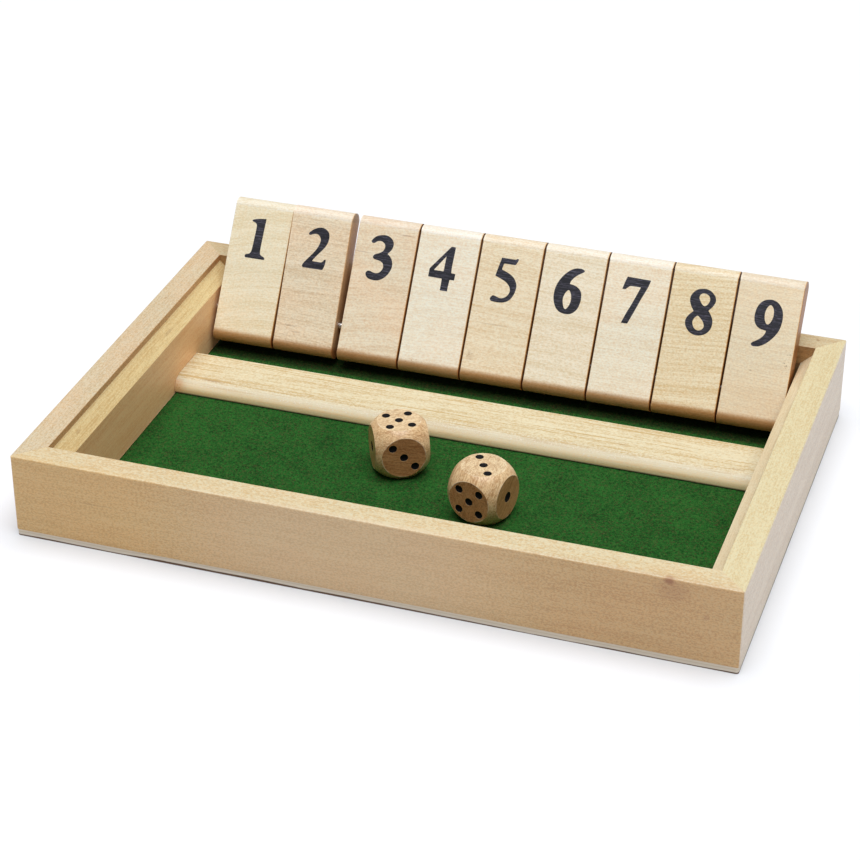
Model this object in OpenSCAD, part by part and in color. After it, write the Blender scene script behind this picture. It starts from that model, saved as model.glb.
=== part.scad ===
// Shut the box game: a shallow wooden tray with a felt floor, nine hinged number
// tiles on a steel rod, a divider that the shut tiles lie on, and two dice.
// Millimetres. Origin: centre of the tray's underside. +X right, +Y back, +Z up.

/* [Tray] */
// Depth of the tray from the front face to the back face
tray_depth = 175; // [165:1:210]
// Height of the side rails above the base panel
rail_height = 30; // [28:1:36]
// Thickness of the side rails
rail_thick = 10; // [8:0.5:14]
// Rounding of the tray's upright corners
corner_round = 1; // [0.6:0.1:3]
// Rounding of the rails' outer top edges
rail_edge_round = 0.6; // [0.3:0.1:2]
// Rounding of the rails' inner top edges
rail_inner_round = 0.4; // [0.2:0.1:1]

/* [Base and felt] */
// Thickness of the plywood base panel
base_thick = 2.6; // [1.5:0.1:4]
// How far the base panel's edge stays inside the rails' outer faces
base_inset = 0.2; // [0:0.1:2]
// Thickness of the felt lining
felt_thick = 0.5; // [0.4:0.1:1]
// Gap between the felt's edge and the walls around it
felt_gap = 0.2; // [0.1:0.1:1]

/* [Cheeks] */
// Thickness of the inner side strips that carry the rod
cheek_thick = 5; // [4:0.5:8]
// Drop from the rail's top to the cheek's upper edge
cheek_drop = 2.6; // [1:0.1:5]
// Height of the bevel along the cheek's top
cheek_bevel = 4.6; // [1:0.1:6]

/* [Divider] */
// Width of the divider strip from front to back
divider_depth = 22; // [16:0.5:28]
// Thickness of the divider strip above the felt
divider_height = 6; // [5.4:0.1:7]
// Rounding of the divider's top front edge
divider_round = 5; // [2:0.1:5.2]
// Rounding of the divider's other long edges
divider_ease = 0.4; // [0.2:0.1:0.6]
// Gap at each end of the divider
divider_gap = 0.15; // [0.05:0.05:0.5]
// Distance from the rod's axis forward to the divider's back face
divider_to_rod = 23; // [20:0.5:30]

/* [Rod] */
// Diameter of the steel rod
rod_d = 3; // [2:0.1:4]
// Height of the rod's axis above the felt
rod_height = 14.8; // [14.2:0.1:16]
// Distance from the rod's axis back to the back rail's inner face
rod_to_back = 15.2; // [14.2:0.1:17]
// Gap between each end of the rod and the rail behind the cheek
rod_end_gap = 0.1; // [0.05:0.05:0.5]

/* [Number tiles] */
// Number of tiles
tile_count = 9;
// Width of each tile along the rod
tile_w = 24.5; // [20:0.5:30]
// Thickness of each tile
tile_thick = 9; // [7:0.5:10]
// Length of a tile from the rod's axis to its top end
tile_reach = 44.3; // [40:0.1:48]
// Length of a tile from the rod's axis to its lower end
tile_foot = 13.1; // [11:0.1:13.5]
// Rounding of the tile's two ends
tile_end_round = 4.2; // [2:0.1:4.4]
// Rounding of the tile's long edges
tile_ease = 0.4; // [0.2:0.1:0.8]
// Clearance between the rod and the tile's bore, on the radius
bore_gap = 0.08; // [0.02:0.01:0.1]
// Gap between the left cheek and the first tile
first_gap = 1.4; // [0.5:0.1:3]
// Gap between most neighbouring tiles
tile_gap = 0.65; // [0.4:0.05:1.2]
// Wider gap that the tiles' play leaves after one of them
play_gap = 2.3; // [0.6:0.1:3]
// Tile that the wider gap comes after
play_after = 2; // [1:1:8]
// Gap between the last tile and the right cheek
last_gap = 1.25; // [0.5:0.05:3]
// Gap between a tile's back and the rail edge it leans on
lean_gap = 0.05; // [0.02:0.01:0.2]
// Tile that stands a little forward of the others
forward_tile = 2; // [1:1:9]
// Angle by which that tile stands forward, in degrees
forward_angle = 3.5; // [0:0.5:8]

/* [Dice] */
// Edge of the dice, across the flats
die_size = 20; // [14:0.5:22]
// Diameter of the sphere that rounds the dice's corners
die_sphere = 25.7; // [18:0.1:30]
// Diameter of a pip at the die's face
pip_d = 3.1; // [2:0.1:3.3]
// Diameter of the single pip of a one
one_pip_d = 4; // [2:0.1:4.5]
// Depth of a pip
pip_depth = 0.5; // [0.3:0.1:1]
// Distance of the outer pips from the face's centre lines
pip_pitch = 4.05; // [3:0.05:4.5]

/* [Base pins] */
// Diameter of a pin's shank
pin_d = 1.2; // [1:0.1:2]
// Length of a pin, head included
pin_length = 14; // [10:0.5:20]
// Diameter of a pin's head
pin_head_d = 2.6; // [2:0.1:4]
// Thickness of a pin's head
pin_head_h = 0.8; // [0.5:0.1:1]
// Depth of a pin's head below the base's underside
pin_sink = 0.1; // [0.05:0.05:0.2]
// Distance of the end pins from the tray's corners
pin_corner = 24; // [15:1:40]

/* [Hidden] */
$fn = 64;
eps = 1;                                  // how far a cut reaches past a face

// Inside of the tray, between the cheeks
well_w = first_gap + tile_count * tile_w + (tile_count - 2) * tile_gap + play_gap + last_gap;
well_d = tray_depth - 2 * rail_thick;
tray_w = well_w + 2 * (cheek_thick + rail_thick);
rail_top = base_thick + rail_height;
felt_top = base_thick + felt_thick;
well_back = tray_depth / 2 - rail_thick;  // inner face of the back rail

// Rod, tiles and divider
rod_y = well_back - rod_to_back;
rod_z = felt_top + rod_height;
bore_r = rod_d / 2 + bore_gap;
divider_back = rod_y - divider_to_rod;

// The tiles lean back until they meet the rounded inner edge of the back rail
edge_y = rod_to_back + rail_inner_round;
edge_z = rail_top - rail_inner_round - rod_z;
edge_reach = tile_thick / 2 + lean_gap + rail_inner_round;
lean = atan2(edge_y, edge_z) - asin(edge_reach / norm([edge_y, edge_z]));

// Dice as they lie: place on the felt, turn about Z
die_1_at = [-15.2, -6.4];
die_1_turn = 29.5;
die_2_at = [23.2, -26.1];
die_2_turn = -13.3;

// Pin places along the long and short sides
pin_mid = rail_thick / 2;
pin_x = [for (i = [-1, 0, 1]) i * (tray_w / 2 - pin_corner)];
pin_y = [for (i = [-1, 1]) i * (tray_depth / 2 - pin_corner)];
pin_spots = concat(
    [for (x = pin_x, side = [-1, 1]) [x, side * (tray_depth / 2 - pin_mid)]],
    [for (y = pin_y, side = [-1, 1]) [side * (tray_w / 2 - pin_mid), y]]
);

// Rectangle centred on the origin with round corners
module round_rect(size, r) {
    x = size[0] / 2 - r;
    y = size[1] / 2 - r;
    square([size[0] - 2 * r, size[1]], center = true);
    square([size[0], size[1] - 2 * r], center = true);
    for (sx = [-1, 1], sy = [-1, 1]) translate([sx * x, sy * y]) circle(r);
}

// Cuts the corner at the origin of the first quadrant down to a round of radius r
module corner_cut(r) {
    difference() {
        translate([-eps, -eps]) square(r + eps);
        translate([r, r]) circle(r);
    }
}

// One pin, head down, standing on its place
module pin_shape() {
    translate([0, 0, pin_sink]) {
        cylinder(d = pin_head_d, h = pin_head_h);
        cylinder(d = pin_d, h = pin_length);
    }
}

// The holes that the pins fill, open to below
module pin_holes() {
    for (p = pin_spots) translate([p[0], p[1], 0]) {
        pin_shape();
        translate([0, 0, -eps]) cylinder(d = pin_head_d, h = eps + pin_sink);
    }
}

// Section of a rail: outer face at x = 0, inner face at x = rail_thick
module rail_section() {
    difference() {
        square([rail_thick, rail_height]);
        translate([0, rail_height]) mirror([0, 1]) corner_cut(rail_edge_round);
        translate([rail_thick, rail_height]) rotate(180) corner_cut(rail_inner_round);
    }
}

// A rail of the given length along X with its outer face to the front, mitred ends
module rail(length) {
    translate([0, 0, base_thick]) intersection() {
        translate([-length / 2, 0, 0]) rotate([90, 0, 90])
            linear_extrude(length) rail_section();
        linear_extrude(rail_height) polygon([
            [-length / 2, 0], [length / 2, 0],
            [length / 2 - rail_thick, rail_thick], [-length / 2 + rail_thick, rail_thick]
        ]);
    }
}

// Keeps what lies inside the tray's rounded outline and clears the pins
module trimmed() {
    difference() {
        intersection() {
            children();
            linear_extrude(rail_top) round_rect([tray_w, tray_depth], corner_round);
        }
        pin_holes();
    }
}

module base_panel() {
    color("Wheat") difference() {
        linear_extrude(base_thick)
            round_rect([tray_w - 2 * base_inset, tray_depth - 2 * base_inset], corner_round);
        pin_holes();
    }
}

module front_rail() {
    color("BurlyWood") trimmed()
        translate([0, -tray_depth / 2, 0]) rail(tray_w);
}

module back_rail() {
    color("BurlyWood") trimmed()
        translate([0, tray_depth / 2, 0]) rotate(180) rail(tray_w);
}

module left_rail() {
    color("Tan") trimmed()
        translate([-tray_w / 2, 0, 0]) rotate(-90) rail(tray_depth);
}

module right_rail() {
    color("Tan") trimmed()
        translate([tray_w / 2, 0, 0]) rotate(90) rail(tray_depth);
}

// Strip inside a side rail, bevelled towards the well, with a hole for the rod
module cheek(side) {
    difference() {
        translate([side * (well_w / 2 + cheek_thick), well_d / 2, 0]) rotate([90, 0, 0])
            linear_extrude(well_d) polygon([
                [0, base_thick], [-side * cheek_thick, base_thick],
                [-side * cheek_thick, rail_top - cheek_drop - cheek_bevel],
                [0, rail_top - cheek_drop]
            ]);
        translate([side * (well_w + cheek_thick) / 2, rod_y, rod_z]) rotate([0, 90, 0])
            cylinder(d = rod_d, h = cheek_thick + 2 * eps, center = true);
    }
}

module left_cheek() {
    color("Khaki") cheek(-1);
}

module right_cheek() {
    color("Khaki") cheek(1);
}

module felt_lining() {
    color("DarkGreen") translate([0, 0, base_thick + felt_thick / 2])
        cube([well_w - 2 * felt_gap, well_d - 2 * felt_gap, felt_thick], center = true);
}

// Strip across the well with a round front edge, on which the shut tiles lie
module divider() {
    color("Moccasin") translate([-well_w / 2 + divider_gap, divider_back, felt_top])
        rotate([90, 0, 90]) linear_extrude(well_w - 2 * divider_gap) difference() {
            translate([-divider_depth, 0]) square([divider_depth, divider_height]);
            translate([-divider_depth, divider_height]) mirror([0, 1])
                corner_cut(divider_round);
            translate([-divider_depth, 0]) corner_cut(divider_ease);
            translate([0, divider_height]) rotate(180) corner_cut(divider_ease);
        }
}

module pivot_rod() {
    color("Silver") translate([0, rod_y, rod_z]) rotate([0, 90, 0])
        cylinder(d = rod_d, h = well_w + 2 * (cheek_thick - rod_end_gap), center = true);
}

module base_pins() {
    color("DimGray") for (p = pin_spots) translate([p[0], p[1], 0]) pin_shape();
}

// Side outline of a tile with the rod's axis at the origin and its top end up
module tile_outline() {
    translate([0, (tile_reach - tile_foot) / 2])
        round_rect([tile_thick, tile_reach + tile_foot], tile_end_round);
}

// Left side of a tile, counted from 1
function tile_left(n) = -well_w / 2 + first_gap + (n - 1) * (tile_w + tile_gap)
    + (n > play_after ? play_gap - tile_gap : 0);

// Angle of a tile back from upright
function tile_lean(n) = lean - (n == forward_tile ? forward_angle : 0);

module tile(n) {
    translate([tile_left(n) + tile_w / 2, rod_y, rod_z]) rotate([-tile_lean(n), 0, 0])
        difference() {
            intersection() {
                rotate([90, 0, 90]) linear_extrude(tile_w, center = true) tile_outline();
                translate([0, 0, -tile_foot - eps])
                    linear_extrude(tile_reach + tile_foot + 2 * eps)
                        round_rect([tile_w, tile_thick], tile_ease);
            }
            rotate([0, 90, 0]) cylinder(r = bore_r, h = tile_w + 2 * eps, center = true);
        }
}

// Places of the pips on a face, for a count of 1 to 6
function pips(count) = [
    for (i = [-1, 0, 1], j = [-1, 0, 1])
        if ((i == 0 && j == 0 && count % 2 == 1)
            || (i == j && i != 0 && count > 1)
            || (i == -j && i != 0 && count > 3)
            || (i == 0 && j != 0 && count == 6)) [i * pip_pitch, j * pip_pitch]
];

// Radius of the ball that cuts a pip of the given width
function pip_ball(d) = (pow(d / 2, 2) + pow(pip_depth, 2)) / (2 * pip_depth);

// Pips of one face, laid on the plane z = die_size / 2
module pip_cuts(count) {
    ball = pip_ball(count == 1 ? one_pip_d : pip_d);
    for (p = pips(count))
        translate([p[0], p[1], die_size / 2 + ball - pip_depth]) sphere(ball);
}

// A die about its own centre, with opposite faces adding up to seven. The counts
// are those of its top, front and right faces, and the three turns (0 or 90)
// lay those faces' diagonals as they lie on the die.
module die(top, front, right, turns) {
    difference() {
        intersection() {
            cube(die_size, center = true);
            sphere(d = die_sphere);
        }
        rotate(turns[0]) pip_cuts(top);
        rotate([180, 0, 0]) pip_cuts(7 - top);
        rotate([90, 0, 0]) rotate(turns[1]) pip_cuts(front);
        rotate([-90, 0, 0]) pip_cuts(7 - front);
        rotate([0, 90, 0]) rotate(turns[2]) pip_cuts(right);
        rotate([0, -90, 0]) pip_cuts(7 - right);
    }
}

// A die lying on the felt
module die_at(place, turn) {
    translate([place[0], place[1], felt_top + die_size / 2]) rotate(turn) children();
}

module die_1() {
    color("Peru") die_at(die_1_at, die_1_turn) die(5, 3, 6, [0, 90, 0]);
}

module die_2() {
    color("Peru") die_at(die_2_at, die_2_turn) die(3, 5, 1, [90, 0, 0]);
}

base_panel();
front_rail();
back_rail();
left_rail();
right_rail();
left_cheek();
right_cheek();
felt_lining();
divider();
pivot_rod();
base_pins();
die_1();
die_2();
color("Wheat") tile(1);  // tile_1
color("BurlyWood") tile(2);  // tile_2
color("BurlyWood") tile(3);  // tile_3
color("Wheat") tile(4);  // tile_4
color("BurlyWood") tile(5);  // tile_5
color("Wheat") tile(6);  // tile_6
color("Wheat") tile(7);  // tile_7
color("Khaki") tile(8);  // tile_8
color("BurlyWood") tile(9);  // tile_9
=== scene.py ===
"""Looks of the shut the box game: woods, felt, steel, printed numerals, camera and light.

Millimetres in every table below; Blender's own values are in metres.
"""

import math

import bpy
import numpy as np
from mathutils import Matrix, Vector
from mathutils.geometry import tessellate_polygon


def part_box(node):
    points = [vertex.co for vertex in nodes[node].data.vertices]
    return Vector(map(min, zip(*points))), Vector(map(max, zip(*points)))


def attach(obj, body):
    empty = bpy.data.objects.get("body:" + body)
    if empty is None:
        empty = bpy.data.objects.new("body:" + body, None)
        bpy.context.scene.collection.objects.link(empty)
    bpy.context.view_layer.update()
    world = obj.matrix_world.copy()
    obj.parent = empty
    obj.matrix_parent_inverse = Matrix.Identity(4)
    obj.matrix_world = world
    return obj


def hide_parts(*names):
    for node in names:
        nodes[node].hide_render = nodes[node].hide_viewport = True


MM = 0.001

# ---------------------------------------------------------------- sizes shared with the part
TRAY_W, TRAY_D = 260.0, 175.0
FELT_TOP = 3.1
ROD_Y, ROD_Z = 62.3, 17.9
CHEEK_MIDDLE, DIVIDER_MIDDLE = 117.5, 28.3
TILES = range(1, 10)
TILE_THICK = 9.0
LEAN = 33.96
FORWARD = {2: 3.5}
# Each die's middle, its turn, and the way its grain is turned
DICE = {"die_1": ((-15.2, -6.4), 29.5, (0, 12, 29.5)),
        "die_2": ((23.2, -26.1), -13.3, (0, -45, 76.7))}
DIE_SIZE, DIE_SPHERE = 20.0, 25.7

# ---------------------------------------------------------------- camera of the photograph
CAMERA_AT = (0.24676, -0.74850, 0.49307)
CAMERA_ELEVATION, CAMERA_AZIMUTH, CAMERA_ROLL = 31.073, 18.624, -0.025
CAMERA_LENS, CAMERA_SENSOR = 105.87, 36.0

# ---------------------------------------------------------------- light
SKY_STRENGTH = 0.2
SUN_STRENGTH, SUN_ANGLE = 3.6, 58.0
SUN_FROM = (0.07, -0.04, 1.0)
FLOOR_SIZE = 12.0
FLOOR_COLOUR = (0.765, 0.785, 0.825)

# ---------------------------------------------------------------- numerals
# Outlines on the tile's face: x from its centre line, z from the rod's axis.
# A third value marks a corner; the other points are joined by a smooth curve.
NUMERALS = {
    1: [[(-4.9, 20.45, 1), (2.75, 20.45, 1), (2.95, 21.0), (2.5, 21.5), (1.1, 22.2), (0.75, 23.0),
         (0.65, 25.0), (0.7, 28.0), (0.8, 32.0), (0.95, 36.5, 1), (-2.3, 36.1), (-4.3, 35.5),
         (-4.55, 35.1), (-4.1, 34.8), (-3.1, 34.4), (-2.55, 33.8), (-2.4, 32.6), (-2.5, 29.0),
         (-2.7, 24.4), (-2.9, 23.0), (-3.4, 22.2), (-4.9, 21.6), (-5.15, 21.1)]],
    2: [[(-5.5, 20.4, 1), (2.65, 20.45, 1), (3.1, 21.6), (3.4, 23.0), (3.45, 24.6, 1),
         (2.8, 24.5, 1), (2.2, 23.6), (1.5, 23.3), (-2.05, 23.35, 1), (-1.5, 24.3), (-0.1, 26.2),
         (1.2, 27.8), (2.5, 29.6), (3.25, 31.5), (3.45, 33.3), (3.1, 34.9), (2.0, 36.1),
         (0.2, 36.75), (-1.5, 36.5), (-3.2, 35.7), (-4.5, 34.6), (-5.05, 33.9), (-4.9, 33.4),
         (-4.3, 33.3), (-3.2, 33.8), (-2.1, 34.05), (-1.1, 33.8), (-0.2, 32.9), (0.15, 31.7),
         (-0.1, 30.2), (-0.9, 28.3), (-2.2, 26.3), (-3.6, 24.5), (-5.3, 22.3), (-5.85, 21.0)]],
    3: [[(-3.5, 19.55), (-2.0, 19.6), (-0.6, 20.1), (0.9, 21.2), (2.2, 22.9), (3.0, 24.9),
         (3.1, 26.6), (2.6, 28.3), (1.7, 29.5), (0.5, 30.4, 1), (1.5, 31.7), (2.1, 32.9),
         (2.3, 34.2), (2.0, 35.4), (1.1, 36.5), (-0.1, 37.2), (-1.5, 37.5), (-3.2, 37.3),
         (-4.9, 36.7), (-6.2, 35.5), (-6.75, 34.5), (-6.3, 33.9), (-5.5, 33.9), (-4.4, 34.7),
         (-3.2, 35.0), (-2.1, 34.7), (-1.2, 33.9), (-0.95, 32.7), (-1.5, 31.3), (-2.6, 30.4),
         (-4.2, 29.7), (-5.0, 29.0), (-5.1, 28.3), (-4.5, 27.75), (-3.1, 27.5), (-1.9, 27.2),
         (-0.8, 26.5), (-0.35, 25.1), (-0.8, 23.7), (-1.7, 22.7), (-2.9, 22.35), (-4.1, 22.5),
         (-5.4, 22.9), (-6.4, 22.7), (-6.9, 21.9), (-6.5, 20.7), (-5.4, 19.85)]],
    4: [[(-1.4, 19.75, 1), (1.45, 19.75, 1), (1.5, 22.0), (1.65, 24.25, 1), (3.4, 24.25, 1),
         (3.45, 26.75, 1), (1.8, 26.85, 1), (1.7, 29.0), (1.8, 33.0), (1.9, 36.75, 1),
         (0.25, 36.85, 1), (-6.7, 27.5, 1), (-6.75, 24.35, 1), (-1.4, 24.25, 1), (-1.35, 22.0)],
        [(-1.2, 27.1, 1), (-5.0, 27.1, 1), (-1.1, 32.9, 1)]],
    5: [[(-4.0, 18.7), (-2.2, 18.7), (-0.4, 19.1), (1.2, 20.1), (2.3, 21.8), (2.95, 24.0),
         (2.95, 26.2), (2.1, 28.0), (0.9, 29.3), (-1.0, 30.4), (-3.45, 31.3, 1), (-3.3, 32.5),
         (-3.0, 33.7, 1), (1.3, 33.7, 1), (1.9, 34.9), (2.2, 35.9), (1.9, 36.25), (1.5, 36.1),
         (1.1, 35.8), (-4.25, 35.8, 1), (-4.4, 34.7), (-4.8, 32.8), (-5.55, 28.6, 1),
         (-3.0, 27.65), (-1.1, 26.7), (0.3, 25.3), (0.85, 23.8), (0.6, 22.4), (-0.3, 21.2),
         (-1.5, 20.5), (-2.6, 20.4), (-4.0, 20.85), (-5.1, 21.05), (-5.75, 20.5), (-6.1, 19.6),
         (-5.6, 18.9)]],
    6: [[(-1.2, 18.3), (0.5, 18.6), (1.9, 19.6), (3.0, 21.2), (3.5, 23.2), (3.6, 25.0),
         (3.2, 27.2), (2.1, 28.6), (0.5, 29.5), (-0.8, 29.75), (-1.55, 29.85, 1), (-1.3, 30.9),
         (-0.5, 32.2), (0.9, 33.6), (2.5, 34.7), (3.25, 35.35), (3.0, 35.75), (2.1, 36.15),
         (1.1, 36.2), (-0.3, 36.0), (-2.1, 35.1), (-3.9, 33.4), (-5.3, 31.4), (-6.3, 29.3),
         (-6.85, 26.8), (-6.85, 24.3), (-6.3, 22.0), (-5.2, 20.0), (-3.5, 18.7)],
        [(-1.65, 20.1), (-2.4, 20.8), (-3.0, 22.5), (-3.2, 24.2), (-2.8, 25.9), (-2.1, 27.1),
         (-1.5, 27.5), (-0.9, 26.9), (-0.35, 25.7), (-0.1, 24.0), (-0.3, 22.3), (-0.9, 20.9)]],
    7: [[(-4.6, 18.35, 1), (-2.2, 18.4, 1), (-0.4, 23.2), (1.5, 28.6), (3.2, 33.0),
         (3.95, 35.8, 1), (-5.05, 36.0, 1), (-5.5, 34.6), (-6.3, 31.1, 1), (-5.05, 31.15, 1),
         (-4.3, 32.0), (-3.5, 32.6), (-2.5, 32.7), (0.6, 32.7, 1), (-2.0, 25.4), (-3.3, 22.2)]],
    8: [[(-0.6, 18.2), (1.2, 18.5), (3.0, 19.5), (4.2, 21.2), (4.6, 23.0), (4.35, 24.9),
         (3.5, 26.5), (2.3, 28.0, 1), (3.6, 29.6), (4.3, 31.0), (4.5, 32.0), (4.1, 33.5),
         (3.1, 34.6), (1.8, 35.5), (0.2, 35.9), (-1.4, 35.8), (-3.0, 35.3), (-4.4, 34.0),
         (-5.2, 32.5), (-5.25, 30.9), (-4.5, 29.0), (-3.2, 27.05, 1), (-4.6, 25.6),
         (-5.5, 24.1), (-5.7, 22.6), (-5.2, 21.0), (-4.0, 19.5), (-2.5, 18.55)],
        [(0.4, 29.5), (-0.5, 30.1), (-1.4, 31.3), (-1.9, 32.5), (-1.5, 33.7), (-0.5, 34.2),
         (0.8, 34.0), (1.8, 33.3), (2.25, 32.0), (1.9, 30.7), (1.2, 29.8)],
        [(-0.5, 20.1), (-1.6, 20.5), (-2.5, 21.6), (-2.95, 23.1), (-2.6, 24.3), (-1.9, 25.2),
         (-1.3, 25.6), (-0.5, 25.0), (0.6, 24.0), (1.35, 22.8), (1.6, 21.8), (1.2, 20.9),
         (0.4, 20.3)]],
    9: [[(-3.4, 17.6), (-1.9, 17.85), (0.0, 18.9), (1.8, 20.5), (3.3, 22.4), (4.5, 24.6),
         (5.05, 27.0), (5.2, 29.2), (4.8, 31.7), (3.9, 33.5), (2.5, 34.9), (0.9, 35.6),
         (-0.9, 35.65), (-2.6, 35.1), (-4.1, 33.8), (-5.0, 31.9), (-5.35, 29.8), (-5.3, 28.0),
         (-4.8, 26.4), (-3.8, 25.1), (-2.4, 24.35), (-1.0, 24.1), (-0.15, 23.95, 1),
         (-0.5, 22.7), (-1.5, 21.2), (-3.0, 20.0), (-4.6, 18.95), (-4.95, 18.3), (-4.4, 17.65)],
        [(0.0, 26.35), (-0.7, 26.7), (-1.3, 27.8), (-1.65, 29.4), (-1.6, 31.2), (-0.9, 33.0),
         (-0.1, 33.7), (0.7, 33.2), (1.3, 32.2), (1.6, 30.3), (1.4, 28.6), (0.7, 26.9)]],
}
# Each numeral's own place and size on its tile, measured on the photo and given to 0.05 mm:
# moved right, moved up, times wider and times taller about its middle
NUMERAL_FIT = {
    1: (0.45, 0.0, 1.04, 1.005), 2: (0.55, -0.15, 1.01, 1.0), 3: (0.65, -0.2, 1.01, 1.0),
    4: (0.7, -0.2, 1.04, 1.015), 5: (0.7, -0.3, 1.045, 1.005), 6: (0.8, -0.35, 1.025, 1.0),
    7: (0.8, -0.4, 1.015, 1.0), 8: (0.8, -0.5, 1.0, 1.0), 9: (0.75, -0.55, 1.0, 1.0),
}
INK_PROUD, INK_SUNK = 0.03, 0.02
# Spacing of the outline's points, times it is softened, and steps between two listed points
INK_STEP, INK_SOFTEN, CURVE_STEPS = 0.12, 3, 24
SMALLEST = 1e-9

# ---------------------------------------------------------------- woods
# Colours are 8-bit sRGB. light, dark: the pale wood and its grain; side: the same two on
# upright faces, painted there with light and shade; bands, rings, lines, fibres, pores, speckle,
# streaks: the grain's contrasts; ring: spacing of the rings; slope, bow: how the grain crosses
# the piece; wander: how far it sways; across: which way the rings stack; stretch: how short the
# grain runs; pink: share of rosy patches; rough, bump, coat: the surface; ends: how strongly a
# tile's end grain is darkened, with painted shade in the gaps between tiles; foot: how strongly
# painted shade lies on a tile's lower end, and whether its upper end's painted shade and its
# edges' painted highlight and shade are laid on; arris: how strongly painted shade lies on its
# right edge. The light and dark colours were matched to the photo over patches of each piece.
WOOD = {
    "light": (232, 214, 176), "dark": (206, 174, 126), "bands": 0.5, "rings": 0.0,
    "lines": 0.3, "fibres": 0.5, "pores": 0.25, "speckle": 0.9, "ring": 3.0, "slope": 0.0,
    "bow": 0.0, "wander": 3.0, "across": (0.6, 0.8), "pink": 0.4, "rough": 0.5, "bump": 0.5,
    "side": None, "stretch": 1.0, "ends": 0.0, "coat": 0.15, "streaks": 0.5, "foot": 0.0,
    "arris": 1.0,
}
# Tints that multiply a colour
# Darker end grain, made darker still as painted shade in the gaps between tiles
END_GRAIN_AND_GAP_SHADE = (0.50, 0.34, 0.20, 1)
# Painted shade on a tile's lower end and, cooler, on its upper end
FOOT_PAINTED_SHADE, HEAD_PAINTED_SHADE = (0.66, 0.42, 0.24, 1), (0.84, 0.86, 0.92, 1)
# Painted highlight on a tile's left edge and painted shade on its right edge
LEFT_EDGE_HIGHLIGHT, RIGHT_EDGE_SHADE = (1.08, 1.10, 1.14, 1), (0.88, 0.62, 0.36, 1)
WARM_SPECKS, ROSY_PATCHES = (1.04, 0.95, 0.84, 1), (1.05, 0.955, 0.90, 1)
DARK_PORES = (0.70, 0.60, 0.48, 1)
# Painted light on a die's upper flats and painted shade on its upright flats
TOP_FLATS_PAINTED_LIGHT, SIDE_FLATS_PAINTED_SHADE = (0.95, 1.04, 1.15, 1), (0.76, 0.53, 0.43, 1)
# Painted shade on the felt under the tiles
UNDER_TILES_PAINTED_SHADE = (0.85, 0.42, 0.5, 1)
# Where a tile's painted shade and painted highlight fade in or out, in its own frame
FOOT_FADE, HEAD_FADE = (-10.6, -7.9), (40.2, 40.9)
LEFT_FADE, RIGHT_FADE = (-12.1, -11.7), (11.8, 12.1)
# Plain colours
# Pale rims of wear with a painted highlight round a die's flats, and the pips' black paint
WORN_EDGE_AND_HIGHLIGHT, PIP_BLACK = (246, 232, 206), (6, 5, 8)
INK_DARK, INK_LIGHT = (20, 21, 32), (86, 84, 102)
EDGE_BOTTOM_DARK, PLY_LIGHT, PLY_MIDDLE = (100, 74, 54), (222, 210, 192), (188, 168, 138)
STEEL_BRIGHT, STEEL_STAINED = (214, 216, 218), (176, 174, 170)
FELT_DARK, FELT_LIGHT, FELT_DUST = (6, 47, 12), (40, 99, 38), (84, 66, 46)


def wood_look(**changes):
    """The shared wood values with some of them changed."""
    return {**WOOD, **changes}


FRONT_RAIL = wood_look(
    light=(208, 200, 171), dark=(194, 174, 135), side=((209, 180, 131), (188, 152, 102)),
    bands=0.6, lines=0.5, streaks=0.55, speckle=1.5, across=(0.75, 0.66), wander=5.0)
BACK_RAIL = wood_look(
    light=(197, 185, 152), dark=(177, 153, 117), side=((196, 160, 112), (168, 130, 86)),
    lines=0.25, across=(0.75, 0.66))
LEFT_RAIL = wood_look(
    light=(204, 193, 168), dark=(184, 164, 130), side=((216, 176, 128), (192, 150, 102)),
    bands=0.45, lines=0.15, speckle=1.1, pink=0.7, across=(0.75, 0.66))
# Its upright faces are paler and greyer: a painted reflection of the pale floor
RIGHT_RAIL = wood_look(
    light=(210, 203, 169), dark=(196, 179, 137), side=((222, 210, 193), (201, 184, 164)),
    bands=0.5, lines=0.2, speckle=0.9, pink=0.1, across=(0.75, 0.66))
# Painted light on its upright faces, much lighter than its top
LEFT_CHEEK = wood_look(
    light=(212, 197, 148), dark=(186, 161, 107), side=((254, 214, 166), (240, 186, 130)),
    bands=0.7, lines=0.55, speckle=0.6, across=(0.7, 0.7), wander=4.0, pink=0.2)
RIGHT_CHEEK = wood_look(
    light=(237, 226, 196), dark=(214, 194, 153), side=((214, 186, 144), (190, 154, 110)),
    bands=0.4, lines=0.3, speckle=0.6, across=(0.7, 0.7), wander=4.0, pink=0.2)
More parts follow.
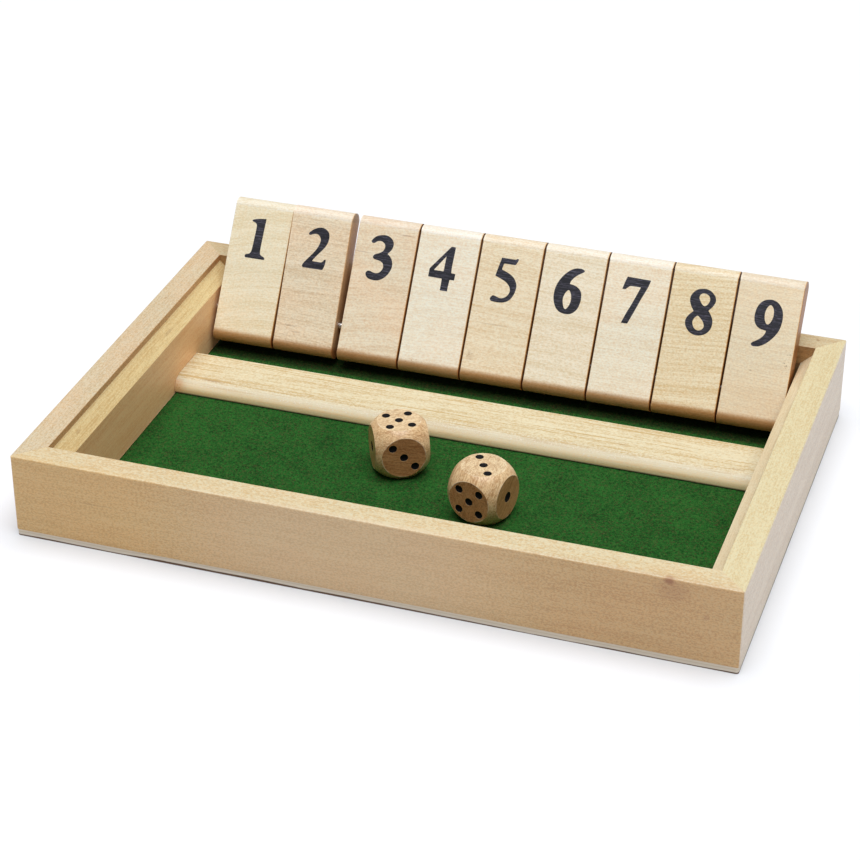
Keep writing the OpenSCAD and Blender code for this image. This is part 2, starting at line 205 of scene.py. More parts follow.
# Painted light on its upright faces: the lower front of the round is lighter
DIVIDER = wood_look(
    light=(208, 201, 173), dark=(181, 156, 108), side=((255, 237, 197), (252, 221, 172)),
    lines=1.5, fibres=0.7, pores=0.5, speckle=0.7, across=(1.0, 0.35), wander=2.0,
    pink=0.1, rough=0.55, stretch=0.7, coat=0.1)
TILE_GRAIN = dict(across=(0.1, 1.0), ends=1.0, foot=1.0, streaks=0.4, speckle=0.6)
TILE_LOOKS = {
    1: wood_look(**TILE_GRAIN, light=(244, 237, 214), dark=(224, 208, 169), rings=0.12, ring=2.2,
                 slope=0.16, bow=-0.005, fibres=0.7, pink=0.1),
    2: wood_look(**{**TILE_GRAIN, "ends": 0.25}, arris=0.75, light=(246, 235, 212),
                 dark=(219, 198, 166), rings=0.15, ring=2.0, slope=-0.03, lines=0.5, fibres=0.8,
                 pores=0.8, pink=0.7),
    3: wood_look(**TILE_GRAIN, light=(241, 232, 210), dark=(220, 197, 165), rings=0.08, ring=4.0,
                 slope=0.12, bow=-0.004, lines=0.25, pink=0.8),
    4: wood_look(**TILE_GRAIN, light=(248, 246, 231), dark=(233, 217, 191), bands=0.3, lines=0.2,
                 pink=0.4),
    5: wood_look(**TILE_GRAIN, light=(246, 236, 211), dark=(225, 201, 161), rings=0.1, ring=3.0,
                 slope=-0.06, lines=0.4, pink=0.2),
    6: wood_look(**TILE_GRAIN, light=(248, 241, 222), dark=(226, 209, 174), rings=0.12, ring=2.4,
                 slope=-0.05, lines=0.3, pink=0.2),
    7: wood_look(**TILE_GRAIN, light=(247, 244, 227), dark=(230, 213, 184), bands=0.35,
                 lines=0.25, pink=0.5),
    8: wood_look(**TILE_GRAIN, light=(245, 234, 205), dark=(220, 194, 146), rings=0.38, ring=2.0,
                 slope=0.07, lines=0.2, pink=0.0, wander=1.0),
    9: wood_look(**TILE_GRAIN, light=(241, 231, 205), dark=(219, 199, 167), rings=0.05, ring=4.5,
                 slope=-0.05, bow=0.004, lines=0.2, pink=0.35),
}
DIE_WOOD = wood_look(
    light=(228, 201, 158), dark=(176, 136, 94), bands=0.6, rings=0.2, ring=3.4, lines=0.5,
    fibres=1.0, pores=0.5, speckle=0.6, across=(0.8, 0.6), rough=0.36, stretch=1.5)
BASE_FACE = wood_look(
    light=(232, 222, 200), dark=(206, 186, 152), bands=0.7, lines=0.8, across=(1.0, 0.2),
    rough=0.65)

# Marks in a piece's own millimetres: place, radii, strength, colour, grit (0 smooth, 1 specks).
# A radius of 900 runs the whole length.
BROWN, RED_BROWN, DARK, PAINTED_SHADOW = (140, 100, 62), (150, 96, 66), (70, 50, 36), (20, 16, 12)
PAINTED_HIGHLIGHT, SAND, HONEY = (246, 240, 226), (214, 194, 168), (214, 172, 100)
UMBER, AMBER, STRAW = (176, 134, 104), (214, 152, 88), (226, 176, 110)
MARKS = {
    "front_rail": [((-5.0, 0.0, 16.0), (75.0, 3.0, 60.0), 0.3, SAND, 0.0),
                   ((100.0, 0.0, 16.0), (60.0, 3.0, 60.0), 0.2, UMBER, 0.0),
                   ((-112.0, 0.0, 16.0), (50.0, 3.0, 60.0), 0.2, HONEY, 0.0),
                   ((105.2, 0.0, 31.6), (2.2, 3.0, 1.6), 0.75, RED_BROWN, 0.0),
                   ((106.5, 0.0, 28.1), (7.0, 3.0, 5.0), 0.35, RED_BROWN, 0.3),
                   ((118.0, 0.0, 20.1), (1.3, 3.0, 1.4), 0.35, RED_BROWN, 0.3),
                   ((-100.0, 0.0, 18.8), (11.0, 3.0, 0.5), 0.22, BROWN, 0.3)],
    "back_rail": [((119.8, -3.8, 32.6), (1.0, 0.8, 2.0), 0.6, BROWN, 0.0)],
    "left_rail": [((36.8, -4.4, 32.6), (0.9, 0.5, 2.0), 0.5, BROWN, 0.0)],
    "right_rail": [((-44.4, 0.0, 0.4), (0.9, 3.0, 1.4), 0.8, DARK, 0.0)],
    "left_cheek": [((-58.3, 0.0, 28.1), (2.0, 4.0, 0.5), 0.4, BROWN, 0.2),
                   ((20.0, 0.0, 27.6), (5.0, 4.0, 0.5), 0.4, BROWN, 0.2)],
    "divider": [((-100.5, -7.5, 9.1), (5.5, 0.5, 1.5), 0.6, BROWN, 0.2),
                ((60.0, -3.0, 9.1), (3.0, 0.4, 1.5), 0.4, BROWN, 0.0),
                ((104.0, -6.5, 9.1), (4.0, 0.4, 1.5), 0.5, BROWN, 0.2),
                # This band and the two whitish patches below it are painted highlight on the front
                # round
                ((0.0, -9.7, 7.2), (900.0, 2.4, 2.0), 0.6, PAINTED_HIGHLIGHT, 0.7),
                ((-115.0, -9.5, 5.6), (5.0, 3.0, 3.2), 0.8, AMBER, 0.3),
                ((-60.0, -10.2, 6.6), (26.0, 2.4, 1.2), 0.5, PAINTED_HIGHLIGHT, 1.0),
                ((38.0, -10.2, 6.2), (30.0, 2.4, 1.2), 0.5, PAINTED_HIGHLIGHT, 1.0),
                # Painted shadow along the foot of the front, where it meets the felt
                ((0.0, -11.0, 3.1), (900.0, 1.0, 0.8), 0.9, PAINTED_SHADOW, 0.0)],
    "tile_2": [((-6.5, 0.0, -3.0), (4.5, 9.0, 0.45), 0.6, BROWN, 0.3),
               ((-3.5, 0.0, -5.2), (3.0, 9.0, 0.4), 0.6, BROWN, 0.3)],
    "tile_3": [((7.5, 0.0, 38.3), (4.0, 9.0, 0.35), 0.6, RED_BROWN, 0.0),
               ((-9.0, 0.0, 29.7), (5.0, 9.0, 0.3), 0.5, RED_BROWN, 0.0)],
    "tile_4": [((-7.0, 0.0, -9.0), (6.0, 9.0, 1.2), 0.5, BROWN, 1.0)],
    "tile_5": [((-9.5, 0.0, -3.5), (2.0, 9.0, 3.0), 0.5, BROWN, 0.6),
               ((-2.0, 0.0, 9.6), (8.0, 9.0, 0.35), 0.3, BROWN, 0.0)],
    "tile_7": [((-4.0, 0.0, -9.5), (9.0, 9.0, 0.8), 0.35, BROWN, 0.6)],
    "tile_9": [((0.0, 0.0, -2.0), (30.0, 9.0, 14.0), 0.14, STRAW, 0.0),
               ((9.8, 0.0, 13.5), (2.2, 9.0, 6.5), 0.7, DARK, 1.0),
               ((-2.6, 0.0, 8.0), (0.7, 9.0, 0.5), 0.5, BROWN, 0.0)],
}

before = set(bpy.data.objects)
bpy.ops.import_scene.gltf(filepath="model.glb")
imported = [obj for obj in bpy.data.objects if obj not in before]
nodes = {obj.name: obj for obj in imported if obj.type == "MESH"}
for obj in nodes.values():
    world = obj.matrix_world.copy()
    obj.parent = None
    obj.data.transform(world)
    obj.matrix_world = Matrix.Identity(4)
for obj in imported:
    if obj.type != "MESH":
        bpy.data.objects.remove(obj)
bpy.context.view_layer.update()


# ---------------------------------------------------------------- shader helpers
def linear(rgb):
    """An 8-bit sRGB colour as linear RGBA."""
    part = [c / 255 for c in rgb]
    return tuple(c / 12.92 if c <= 0.04045 else ((c + 0.055) / 1.055) ** 2.4 for c in part) + (1,)


class Shader:
    """One material, its node tree built by short calls."""

    def __init__(self, name):
        self.material = bpy.data.materials.new(name)
        self.material.use_nodes = True
        self.tree = self.material.node_tree
        self.tree.nodes.clear()
        self.surface = self.node("ShaderNodeBsdfPrincipled")
        out = self.node("ShaderNodeOutputMaterial")
        self.tree.links.new(self.surface.outputs[0], out.inputs[0])
        self.coords = self.node("ShaderNodeTexCoord")

    def node(self, kind, **settings):
        made = self.tree.nodes.new(kind)
        for key, value in settings.items():
            setattr(made, key, value)
        return made

    def put(self, socket, value):
        """Links value to the socket, or sets it there."""
        if isinstance(value, bpy.types.NodeSocket):
            self.tree.links.new(value, socket)
        else:
            socket.default_value = value

    def math(self, operation, *values, clamp=False):
        made = self.node("ShaderNodeMath", operation=operation, use_clamp=clamp)
        for socket, value in zip(made.inputs, values):
            self.put(socket, value)
        return made.outputs[0]

    def vector(self, operation, *values):
        made = self.node("ShaderNodeVectorMath", operation=operation)
        for socket, value in zip(made.inputs, values):
            self.put(socket, value)
        return made.outputs["Value" if operation == "LENGTH" else "Vector"]

    def mapped(self, place, turn):
        """Millimetres from place, in axes turned by turn (degrees)."""
        made = self.node("ShaderNodeMapping", vector_type="TEXTURE")
        self.put(made.inputs["Vector"], self.coords.outputs["Object"])
        self.put(made.inputs["Location"], [v * MM for v in place])
        self.put(made.inputs["Rotation"], [math.radians(v) for v in turn])
        self.put(made.inputs["Scale"], (MM, MM, MM))
        return made.outputs[0]

    def split(self, vector):
        made = self.node("ShaderNodeSeparateXYZ")
        self.put(made.inputs[0], vector)
        return made.outputs[0], made.outputs[1], made.outputs[2]

    def join(self, *parts):
        made = self.node("ShaderNodeCombineXYZ")
        for socket, part in zip(made.inputs, parts):
            self.put(socket, part)
        return made.outputs[0]

    def noise(self, at, stretch, detail=2.0, roughness=0.5, seed=0.0):
        """Noise at a vector in millimetres; stretch is its cycles per millimetre on each axis."""
        moved = self.vector("MULTIPLY_ADD", at, stretch, (seed, seed * 1.7, seed * 0.6))
        made = self.node("ShaderNodeTexNoise")
        self.put(made.inputs["Vector"], moved)
        for key, value in (("Scale", 1.0), ("Detail", detail), ("Roughness", roughness)):
            self.put(made.inputs[key], value)
        return made.outputs[0]

    def step(self, value, low, high):
        """0 below low, 1 above high, smooth between."""
        made = self.node("ShaderNodeMapRange", interpolation_type="SMOOTHSTEP")
        self.put(made.inputs["Value"], value)
        self.put(made.inputs["From Min"], low)
        self.put(made.inputs["From Max"], high)
        return made.outputs[0]

    def fall(self, value, low, high):
        """1 below low, 0 above high, smooth between."""
        return self.math("SUBTRACT", 1.0, self.step(value, low, high))

    def mix(self, share, a, b, blend="MIX"):
        made = self.node("ShaderNodeMix", data_type="RGBA", blend_type=blend)
        self.put(made.inputs["Factor"], share)
        colours = [s for s in made.inputs if s.type == "RGBA"]
        self.put(colours[0], a)
        self.put(colours[1], b)
        return [s for s in made.outputs if s.type == "RGBA"][0]

    def bump(self, height, distance, strength):
        made = self.node("ShaderNodeBump")
        self.put(made.inputs["Height"], height)
        self.put(made.inputs["Distance"], distance * MM)
        self.put(made.inputs["Strength"], strength)
        self.put(self.surface.inputs["Normal"], made.outputs[0])

    def finish(self, colour, rough, **plain):
        self.put(self.surface.inputs["Base Color"], colour)
        self.put(self.surface.inputs["Roughness"], rough)
        for key, value in plain.items():
            self.put(self.surface.inputs[key.replace("_", " ")], value)
        return self.material


def centred(s, value, gain):
    """(value - 0.5) * gain"""
    return s.math("MULTIPLY", s.math("SUBTRACT", value, 0.5), gain)


def summed(s, *values):
    total = values[0]
    for value in values[1:]:
        total = s.math("ADD", total, value)
    return total


# ---------------------------------------------------------------- wood
def grain(s, p, look, seed):
    """The grain's coordinates: x along it, y across the rings, z along them."""
    x, y, z = s.split(p)
    a, b = (v / math.hypot(*look["across"]) for v in look["across"])
    across = s.math("ADD", s.math("MULTIPLY", y, a), s.math("MULTIPLY", z, b))
    beside = s.math("SUBTRACT", s.math("MULTIPLY", y, b), s.math("MULTIPLY", z, a))
    sway = centred(s, s.noise(p, (0.018, 0.05, 0.05), 1.0, seed=seed + 3.1), look["wander"])
    bend = s.math("MULTIPLY_ADD", x, look["bow"], look["slope"])
    across = s.math("ADD", s.math("SUBTRACT", across, s.math("MULTIPLY", bend, x)), sway)
    return s.join(x, across, beside), across


def wood(name, look, place=(0, 0, 0), turn=(0, 0, 0), marks=(), seed=0.0):
    """Pale close-grained wood with its grain along the piece's own X."""
    s = Shader(name)
    p = s.mapped(place, turn)
    g, across = grain(s, p, look, seed)
    k = look["stretch"]
    bands = s.noise(g, (0.008 * k, 0.24, 0.24), 2.0, seed=seed)
    lines = s.step(s.noise(g, (0.035 * k, 1.3, 0.9), 1.5, seed=seed + 5), 0.52, 0.74)
    fibres = s.noise(g, (0.3 * k, 3.6, 3.6), 2.0, 0.6, seed=seed + 9)
    pores = s.step(s.noise(g, (0.55 * k, 4.6, 4.6), 1.0, seed=seed + 17), 0.66, 0.76)
    streaks = s.noise(g, (0.08 * k, 2.4, 2.4), 1.0, 0.7, seed=seed + 13)
    speckle = s.noise(p, (1.1, 1.8, 1.8), 2.0, 0.7, seed=seed + 23)
    tint = s.noise(p, (0.9, 1.4, 1.4), 2.0, 0.7, seed=seed + 47)
    patches = s.noise(p, (0.035, 0.06, 0.06), 2.0, seed=seed + 31)
    phase = s.math("MULTIPLY_ADD", across, 2 * math.pi / look["ring"],
                   s.math("MULTIPLY", bands, 4.0))
    rings = s.math("POWER", s.math("MULTIPLY_ADD", s.math("SINE", phase), 0.5, 0.5), 2.5)
    tone = summed(
        s, centred(s, bands, 2.0 * look["bands"]), s.math("MULTIPLY", rings, 0.6 * look["rings"]),
        s.math("MULTIPLY", lines, 0.6 * look["lines"]), centred(s, fibres, 1.1 * look["fibres"]),
        centred(s, streaks, 3.0 * look["streaks"]),
        centred(s, speckle, 3.8 * look["speckle"]))
    tone = s.math("ADD", tone, 0.38 - 0.12 * look["rings"] - 0.08 * look["lines"], clamp=True)
    colour = s.mix(tone, linear(look["light"]), linear(look["dark"]))
    colour = face_tints(s, colour, p, tone, look)
    warmth = s.math("MULTIPLY", s.step(tint, 0.36, 0.64), 0.9 * look["speckle"], clamp=True)
    colour = s.mix(warmth, colour, WARM_SPECKS, "MULTIPLY")
    rosy = s.math("MULTIPLY", s.step(patches, 0.35, 0.68), look["pink"])
    colour = s.mix(rosy, colour, ROSY_PATCHES, "MULTIPLY")
    colour = s.mix(s.math("MULTIPLY", pores, look["pores"]), colour, DARK_PORES, "MULTIPLY")
    for mark in marks:
        colour = marked(s, colour, p, speckle, *mark)
    s.bump(summed(s, fibres, s.math("MULTIPLY", lines, 0.4), s.math("MULTIPLY", pores, -1.2)),
           0.06, 0.35 * look["bump"])
    return s, colour, s.math("ADD", centred(s, fibres, 0.25), look["rough"])


def face_tints(s, colour, p, tone, look):
    """Painted light and shade on upright faces, end grain darkened with painted shade in the gaps,
    and a tile's painted shade at its ends and right edge and painted highlight at its left edge.
    """
    facing = [s.math("ABSOLUTE", v) for v in s.split(s.coords.outputs["Normal"])]
    # Upright faces take the look's side colours: painted light and shade for how the light falls on
    # them
    if look["side"]:
        upright = s.mix(tone, *(linear(c) for c in look["side"]))
        colour = s.mix(s.step(facing[2], 0.35, 0.85), upright, colour)
    # End grain darkened, and darker still as painted shade in the gaps between tiles
    if look["ends"]:
        ends = s.math("MULTIPLY", s.step(facing[0], 0.6, 0.95), look["ends"])
        colour = s.mix(ends, colour, END_GRAIN_AND_GAP_SHADE, "MULTIPLY")
    # Painted shade on a tile's lower end and, cooler, on its upper end
    if look["foot"]:
        side, _, up = s.split(p)
        foot = s.math("MULTIPLY", s.fall(up, *FOOT_FADE), look["foot"])
        colour = s.mix(foot, colour, FOOT_PAINTED_SHADE, "MULTIPLY")
        colour = s.mix(s.step(up, *HEAD_FADE), colour, HEAD_PAINTED_SHADE, "MULTIPLY")
        # Painted highlight on a tile's left edge and painted shade on its right edge
        colour = s.mix(s.fall(side, *LEFT_FADE), colour, LEFT_EDGE_HIGHLIGHT, "MULTIPLY")
        arris = s.math("MULTIPLY", s.step(side, *RIGHT_FADE), look["arris"])
        colour = s.mix(arris, colour, RIGHT_EDGE_SHADE, "MULTIPLY")
    return colour


def marked(s, colour, p, speckle, place, radii, strength, tint, grit):
    """A knot, stain, group of specks, painted highlight or painted shadow laid into the wood."""
    away = s.vector("LENGTH", s.vector("DIVIDE", s.vector("SUBTRACT", p, place), radii))
    share = s.fall(away, 0.3, 1.15)
    if grit:
        specks = s.step(speckle, 0.5 + 0.09 * grit, 0.56 + 0.09 * grit)
        share = s.math("MULTIPLY", share, s.math("MULTIPLY_ADD", specks, grit, 1 - grit))
    return s.mix(s.math("MULTIPLY", share, strength), colour, linear(tint))


def plain_wood(name, look, *args, **kwargs):
    """A piece of plain wood with its thin clear coat."""
    s, colour, rough = wood(name, look, *args, **kwargs)
    return s.finish(colour, rough, Coat_Weight=look["coat"], Coat_Roughness=0.3)


def dice_wood(name, place, turn, lie, seed):
    """Die wood whose sunk cups are painted black, with painted shade on its upright flats, painted
    light on its upper flats, and pale rims of wear with a painted highlight.
    """
    s, colour, rough = wood(name, DIE_WOOD, place, lie, seed=seed)
    p = s.mapped(place, turn)
    flat, ball = DIE_SIZE / 2, DIE_SPHERE / 2
    axes = [s.math("ABSOLUTE", v) for v in s.split(p)]
    furthest = s.math("MAXIMUM", s.math("MAXIMUM", axes[0], axes[1]), axes[2])
    away = s.vector("LENGTH", p)
    cup = s.math("MULTIPLY", s.fall(furthest, flat - 0.05, flat - 0.02),
                 s.fall(away, ball - 0.2, ball - 0.1))
    # Painted shade on the upright flats and painted light on the upper flats
    up = s.math("ABSOLUTE", s.split(s.coords.outputs["Normal"])[2])
    upright = s.fall(up, 0.3, 0.6)
    on_flat = s.step(furthest, flat - 0.03, flat - 0.01)
    colour = s.mix(s.math("MULTIPLY", on_flat, upright), colour, SIDE_FLATS_PAINTED_SHADE, "MULTIPLY")
    upper = s.math("MULTIPLY", on_flat, s.math("SUBTRACT", 1.0, upright))
    colour = s.mix(upper, colour, TOP_FLATS_PAINTED_LIGHT, "MULTIPLY")
    # Pale rims round the flats: wear, and a painted highlight where the light catches them
    edge = s.math("MULTIPLY", s.step(furthest, flat - 0.1, flat - 0.04),
                  s.step(away, ball - 0.2, ball - 0.1))
    worn = s.step(s.noise(p, (0.25, 0.25, 0.25), 1.0, seed=seed), 0.42, 0.6)
    worn = s.math("MULTIPLY", s.math("MULTIPLY", edge, worn), 0.42)
    colour = s.mix(worn, colour, linear(WORN_EDGE_AND_HIGHLIGHT))
    colour = s.mix(cup, colour, linear(PIP_BLACK))
    s.put(s.surface.inputs["Coat Weight"], s.math("MULTIPLY_ADD", cup, -0.8, 0.8))
    return s.finish(colour, s.math("MULTIPLY_ADD", cup, 0.4, rough), Coat_Roughness=0.28,
                    Specular_IOR_Level=0.2)


def ink(name, place, turn, seed):
    """Printed ink, thin over the wood's grain."""
    s = Shader(name)
    p = s.mapped(place, turn)
    fibres = s.noise(p, (0.12, 0.5, 3.0), 2.0, 0.7, seed=seed)
    worn = s.step(s.noise(p, (0.8, 0.8, 2.4), 2.0, seed=seed + 4), 0.48, 0.72)
    tone = s.math("ADD", centred(s, fibres, 3.4), s.math("MULTIPLY", worn, 0.5), clamp=True)
    colour = s.mix(tone, linear(INK_DARK), linear(INK_LIGHT))
    s.bump(fibres, 0.05, 0.35)
    return s.finish(colour, s.math("ADD", centred(s, fibres, 0.2), 0.55))


def plywood():
    """Thin plywood: a veneered face and a striped edge."""
    s, colour, rough = wood("plywood", BASE_FACE, seed=41)
    p = s.mapped((0, 0, 0), (0, 0, 0))
    height = s.split(p)[2]
    ragged = s.math("ADD", height, summed(
        s, centred(s, s.noise(p, (0.15, 0.15, 1.0), 2.0), 0.3),
        centred(s, s.noise(p, (0.03, 0.03, 0.0), 1.0, seed=6), 1.2)))
    up = s.math("ABSOLUTE", s.split(s.coords.outputs["Normal"])[2])
    edge = s.fall(up, 0.3, 0.8)
    # The edge is darker along its bottom
    plies = s.mix(s.step(ragged, 0.5, 0.75), linear(EDGE_BOTTOM_DARK), linear(PLY_LIGHT))
    middle = s.math("MULTIPLY", s.step(ragged, 1.5, 1.65), s.fall(ragged, 1.85, 2.0))
    plies = s.mix(s.math("MULTIPLY", middle, 0.35), plies, linear(PLY_MIDDLE))
    return s.finish(s.mix(edge, colour, plies), rough)


def steel():
    """Drawn steel wire with fine lines along it."""
    s = Shader("bright_steel")
    p = s.mapped((0, 0, 0), (0, 0, 0))
    lines = s.noise(p, (0.05, 6.0, 6.0), 3.0, 0.6)
    stains = s.noise(p, (0.3, 0.3, 0.3), 3.0, 0.6, seed=8)
    colour = s.mix(s.step(stains, 0.45, 0.75), linear(STEEL_BRIGHT), linear(STEEL_STAINED))
    s.bump(lines, 0.02, 0.2)
    return s.finish(colour, s.math("MULTIPLY_ADD", lines, 0.2, 0.14), Metallic=1.0)


def felt():
    """Green felt: matted fibres in several sizes."""
    s = Shader("green_felt")
    p = s.mapped((0, 0, 0), (0, 0, 0))
    soft = s.noise(p, (0.09, 0.09, 0.09), 2.0, 0.5, seed=2)
    tufts = s.noise(p, (0.9, 0.9, 0.9), 3.0, 0.65, seed=5)
    warp = s.node("ShaderNodeTexNoise")
    s.put(warp.inputs["Vector"], s.vector("MULTIPLY", p, (0.7, 0.7, 0.7)))
    s.put(warp.inputs["Scale"], 1.0)
    swirl = s.vector("MULTIPLY_ADD", warp.outputs[1], (3.0, 3.0, 3.0), p)
    hairs = s.noise(swirl, (4.2, 0.9, 2.0), 2.0, 0.7, seed=11)
    crossed = s.noise(swirl, (0.9, 4.2, 2.0), 2.0, 0.7, seed=19)
    tone = summed(s, centred(s, soft, 0.7), centred(s, tufts, 1.6), centred(s, hairs, 2.9),
                  centred(s, crossed, 2.9))
    tone = s.math("ADD", tone, 0.5, clamp=True)
    colour = s.mix(tone, linear(FELT_DARK), linear(FELT_LIGHT))
    dusty = s.step(s.noise(p, (1.4, 1.4, 1.4), 3.0, 0.8, seed=27), 0.5, 0.68)
    colour = s.mix(s.math("MULTIPLY", dusty, 0.6), colour, linear(FELT_DUST))
    # Painted shade on the felt under the tiles' feet
    under_tiles_shade = s.step(s.split(p)[1], 49.5, 52.5)
    colour = s.mix(under_tiles_shade, colour, UNDER_TILES_PAINTED_SHADE, "MULTIPLY")
    s.bump(summed(s, tufts, hairs, crossed), 0.2, 0.6)
    return s.finish(colour, 0.95, Specular_IOR_Level=0.1)


# ---------------------------------------------------------------- new pieces
def tile_frame(n):
    """Tile n's own frame: the rod's axis at its origin, Z up the tile, -Y its front."""
    low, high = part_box(f"tile_{n}")
    middle = (low.x + high.x) / 2 / MM
    return (middle, ROD_Y, ROD_Z), (FORWARD.get(n, 0.0) - LEAN, 0.0, 0.0)


def frame_matrix(place, turn):
    """That frame as a matrix from its millimetres to metres."""
    turned = [Matrix.Rotation(math.radians(a), 4, axis) for a, axis in zip(turn, "XYZ")]
    return (Matrix.Translation([v * MM for v in place]) @ turned[2] @ turned[1] @ turned[0]
            @ Matrix.Scale(MM, 4))


def tangent(before, here, after, chord):
    """The curve's direction at a smooth point, as long as the chord it belongs to asks."""
    reach = np.linalg.norm(after - here) + np.linalg.norm(here - before)
    return (after - before) * (np.linalg.norm(chord) / max(reach, SMALLEST))


def smooth_outline(points):
    """Points of a closed outline joined by smooth curves that break at its corners, evenly
    spaced and with the corners a little softened, as ink spreads."""
    n, dense = len(points), []
    for i in range(n):
        before, here, after, beyond = (points[(i + j) % n] for j in (-1, 0, 1, 2))
        p0, p1, p2, p3 = (np.array(q[:2], float) for q in (before, here, after, beyond))
        chord = p2 - p1
        tangent_1 = chord if len(here) > 2 else tangent(p0, p1, p2, chord)
        tangent_2 = chord if len(after) > 2 else tangent(p1, p2, p3, chord)
        for t in np.linspace(0, 1, CURVE_STEPS, endpoint=False):
            dense.append((2 * t**3 - 3 * t**2 + 1) * p1 + (t**3 - 2 * t**2 + t) * tangent_1
                         + (3 * t**2 - 2 * t**3) * p2 + (t**3 - t**2) * tangent_2)
    dense = np.array(dense + dense[:1])
    along = np.r_[0, np.cumsum(np.linalg.norm(np.diff(dense, axis=0), axis=1))]
    at = np.linspace(0, along[-1], max(12, round(along[-1] / INK_STEP)), endpoint=False)
    even = np.column_stack([np.interp(at, along, dense[:, k]) for k in (0, 1)])
    for _ in range(INK_SOFTEN):
        even = (np.roll(even, 1, 0) + 2 * even + np.roll(even, -1, 0)) / 4
    return even


def mesh_object(name, verts, faces, material, body):
    mesh = bpy.data.meshes.new(name)
    mesh.from_pydata([tuple(v) for v in verts], [], faces)
    mesh.validate()
    mesh.materials.append(material)
    made = bpy.data.objects.new(name, mesh)
    bpy.context.scene.collection.objects.link(made)
    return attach(made, body)


def placed_outlines(n):
    """The outlines of numeral n with their place and size on the tile."""
    right, up, wider, taller = NUMERAL_FIT[n]
    points = np.array([point[:2] for outline in NUMERALS[n] for point in outline])
    mid_x, mid_z = (points.min(0) + points.max(0)) / 2
    return [[((x - mid_x) * wider + mid_x + right, (z - mid_z) * taller + mid_z + up, *corner)
             for x, z, *corner in outline] for outline in NUMERALS[n]]


def numeral(n):
    """The number on tile n: a film of ink with its own thickness."""
    place, turn = tile_frame(n)
    loops = [smooth_outline(points) for points in placed_outlines(n)]
    flat = np.vstack(loops)
    triangles = tessellate_polygon([[Vector((x, z, 0)) for x, z in loop] for loop in loops])
    front, back = -TILE_THICK / 2 - INK_PROUD, -TILE_THICK / 2 + INK_SUNK
    verts = [(x, front, z) for x, z in flat] + [(x, back, z) for x, z in flat]
    matrix = frame_matrix(place, turn)
    return mesh_object(f"numeral_{n}", [matrix @ Vector(v) for v in verts],
                       ink_faces(loops, flat, triangles), ink(f"ink_{n}", place, turn, seed=n * 2.3),
                       f"tile_{n}")


def ink_faces(loops, flat, triangles):
    """Front, back and rim of a film whose front points come first and back points after."""
    count, faces, start = len(flat), [], 0
    for a, b, c in triangles:
        (ax, az), (bx, bz), (cx, cz) = flat[a], flat[b], flat[c]
        if (bx - ax) * (cz - az) - (bz - az) * (cx - ax) < 0:
            b, c = c, b
        faces += [(a, b, c), (a + count, c + count, b + count)]
    for k, loop in enumerate(loops):
        m = len(loop)
        x, z = loop.T
        turns_left = np.sum(x * np.roll(z, -1) - np.roll(x, -1) * z) > 0
        outer = turns_left == (k == 0)
        for i in range(m):
            a, b = start + i, start + (i + 1) % m
            faces.append((a, a + count, b + count, b) if outer else (b, b + count, a + count, a))
        start += m
    return faces


FELT_CELL, NAP_HEIGHT = 1.1, 0.05
EDGE_DROP, FIELD_DROP, BASE_GAP = 0.22, 0.05, 0.01


def nap_heights(nx, ny):
    """Uneven heights of the nap on a grid, smoothed a little."""
    rng = np.random.default_rng(7)
    nap = rng.normal(0, 1, (nx + 1, ny + 1))
    for _ in range(2):
        nap = (nap + np.roll(nap, 1, 0) + np.roll(nap, 1, 1) + np.roll(nap, -1, 0)) / 4
    return nap / np.abs(nap).max() * NAP_HEIGHT


def felt_cloth():
    """The felt lining: a sheet with a gently uneven nap and soft edges."""
    low, high = (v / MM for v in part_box("felt_lining"))
    size = high - low
    nx, ny = round(size.x / FELT_CELL), round(size.y / FELT_CELL)
    nap = nap_heights(nx, ny)
    verts, faces = [], []
    for i in range(nx + 1):
        for j in range(ny + 1):
            edge = min(i, nx - i, j, ny - j)
            drop = EDGE_DROP if edge == 0 else FIELD_DROP
            verts.append((low.x + size.x * i / nx, low.y + size.y * j / ny,
                          high.z - drop + min(0.0, float(nap[i, j]))))
    row = ny + 1
    for i in range(nx):
        for j in range(ny):
            a = i * row + j
            faces.append((a, a + row, a + row + 1, a + 1))
    rim = ([i * row for i in range(nx + 1)] + [nx * row + j for j in range(1, ny + 1)]
           + [i * row + ny for i in range(nx - 1, -1, -1)] + [j for j in range(ny - 1, 0, -1)])
    base = len(verts)
    verts += [(verts[v][0], verts[v][1], low.z + BASE_GAP) for v in rim]
    for i, v in enumerate(rim):
        j = (i + 1) % len(rim)
        faces.append((v, base + i, base + j, rim[j]))
    faces.append(tuple(base + i for i in reversed(range(len(rim)))))
    made = mesh_object("felt_cloth", [Vector(v) * MM for v in verts], faces, felt(), "tray")
    for face in made.data.polygons:
        face.use_smooth = True
    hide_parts("felt_lining")
    return made


# ---------------------------------------------------------------- dress the part
def dress(node, material):
    slots = nodes[node].material_slots
    if not slots:
        nodes[node].data.materials.append(material)
    for slot in slots:
        slot.material = material


SIDEWAYS = (0, 0, 90)
RAILS = {
    "front_rail": (FRONT_RAIL, (0, -TRAY_D / 2, 0), (0, 0, 0)),
    "back_rail": (BACK_RAIL, (0, TRAY_D / 2, 0), (0, 0, 0)),
    "left_rail": (LEFT_RAIL, (-TRAY_W / 2, 0, 0), SIDEWAYS),
    "right_rail": (RIGHT_RAIL, (TRAY_W / 2, 0, 0), SIDEWAYS),
    "left_cheek": (LEFT_CHEEK, (-CHEEK_MIDDLE, 0, 0), SIDEWAYS),
    "right_cheek": (RIGHT_CHEEK, (CHEEK_MIDDLE, 0, 0), SIDEWAYS),
    "divider": (DIVIDER, (0, DIVIDER_MIDDLE, 0), (0, 0, 0)),
}
for number, (node, (look, place, turn)) in enumerate(RAILS.items()):
    dress(node, plain_wood(f"wood_{node}", look, place, turn, MARKS.get(node, ()),
                           seed=number * 7.3))
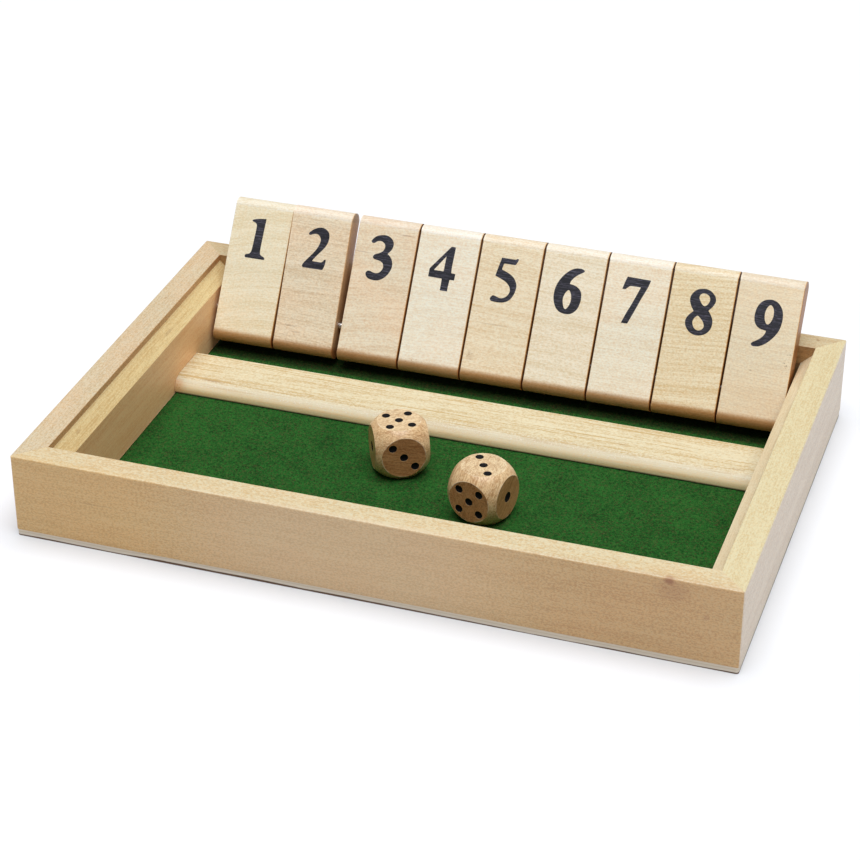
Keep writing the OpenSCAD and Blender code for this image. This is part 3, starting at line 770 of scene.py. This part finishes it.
for n in TILES:
    place, turn = tile_frame(n)
    dress(f"tile_{n}", plain_wood(f"wood_tile_{n}", TILE_LOOKS[n], place, turn,
                                  MARKS.get(f"tile_{n}", ()), seed=60 + n * 11.7))
    numeral(n)
for number, (node, ((x, y), angle, lie)) in enumerate(DICE.items()):
    dress(node, dice_wood(f"wood_{node}", (x, y, FELT_TOP + DIE_SIZE / 2), (0, 0, angle), lie,
                          seed=200 + number * 13))
dress("base_panel", plywood())
bright = steel()
dress("pivot_rod", bright)
dress("base_pins", bright)
felt_cloth()


# ---------------------------------------------------------------- floor, light and camera
def floor():
    half = FLOOR_SIZE / 2
    mesh = bpy.data.meshes.new("floor")
    mesh.from_pydata([(-half, -half, 0), (half, -half, 0), (half, half, 0), (-half, half, 0)],
                     [], [(0, 1, 2, 3)])
    s = Shader("floor_paper")
    mesh.materials.append(s.finish(FLOOR_COLOUR + (1,), 0.9))
    made = bpy.data.objects.new("floor", mesh)
    bpy.context.scene.collection.objects.link(made)


def studio():
    world = bpy.data.worlds.new("studio")
    world.use_nodes = True
    sky = world.node_tree.nodes["Background"]
    sky.inputs["Color"].default_value = (1, 1, 1, 1)
    sky.inputs["Strength"].default_value = SKY_STRENGTH
    bpy.context.scene.world = world
    sun = bpy.data.lights.new("key", "SUN")
    sun.energy, sun.angle = SUN_STRENGTH, math.radians(SUN_ANGLE)
    made = bpy.data.objects.new("key", sun)
    made.rotation_mode = "QUATERNION"
    made.rotation_quaternion = Vector(SUN_FROM).to_track_quat("Z", "Y")
    bpy.context.scene.collection.objects.link(made)
    bpy.context.scene.view_settings.view_transform = "Standard"


def camera():
    data = bpy.data.cameras.new("camera")
    data.sensor_width, data.lens = CAMERA_SENSOR, CAMERA_LENS
    data.clip_start, data.clip_end = 0.02, 20
    made = bpy.data.objects.new("camera", data)
    made.location = CAMERA_AT
    turn = (Matrix.Rotation(math.radians(CAMERA_AZIMUTH), 4, "Z")
            @ Matrix.Rotation(math.radians(90 - CAMERA_ELEVATION), 4, "X")
            @ Matrix.Rotation(math.radians(CAMERA_ROLL), 4, "Z"))
    made.rotation_euler = turn.to_euler()
    bpy.context.scene.collection.objects.link(made)
    bpy.context.scene.camera = made


floor()
studio()
camera()
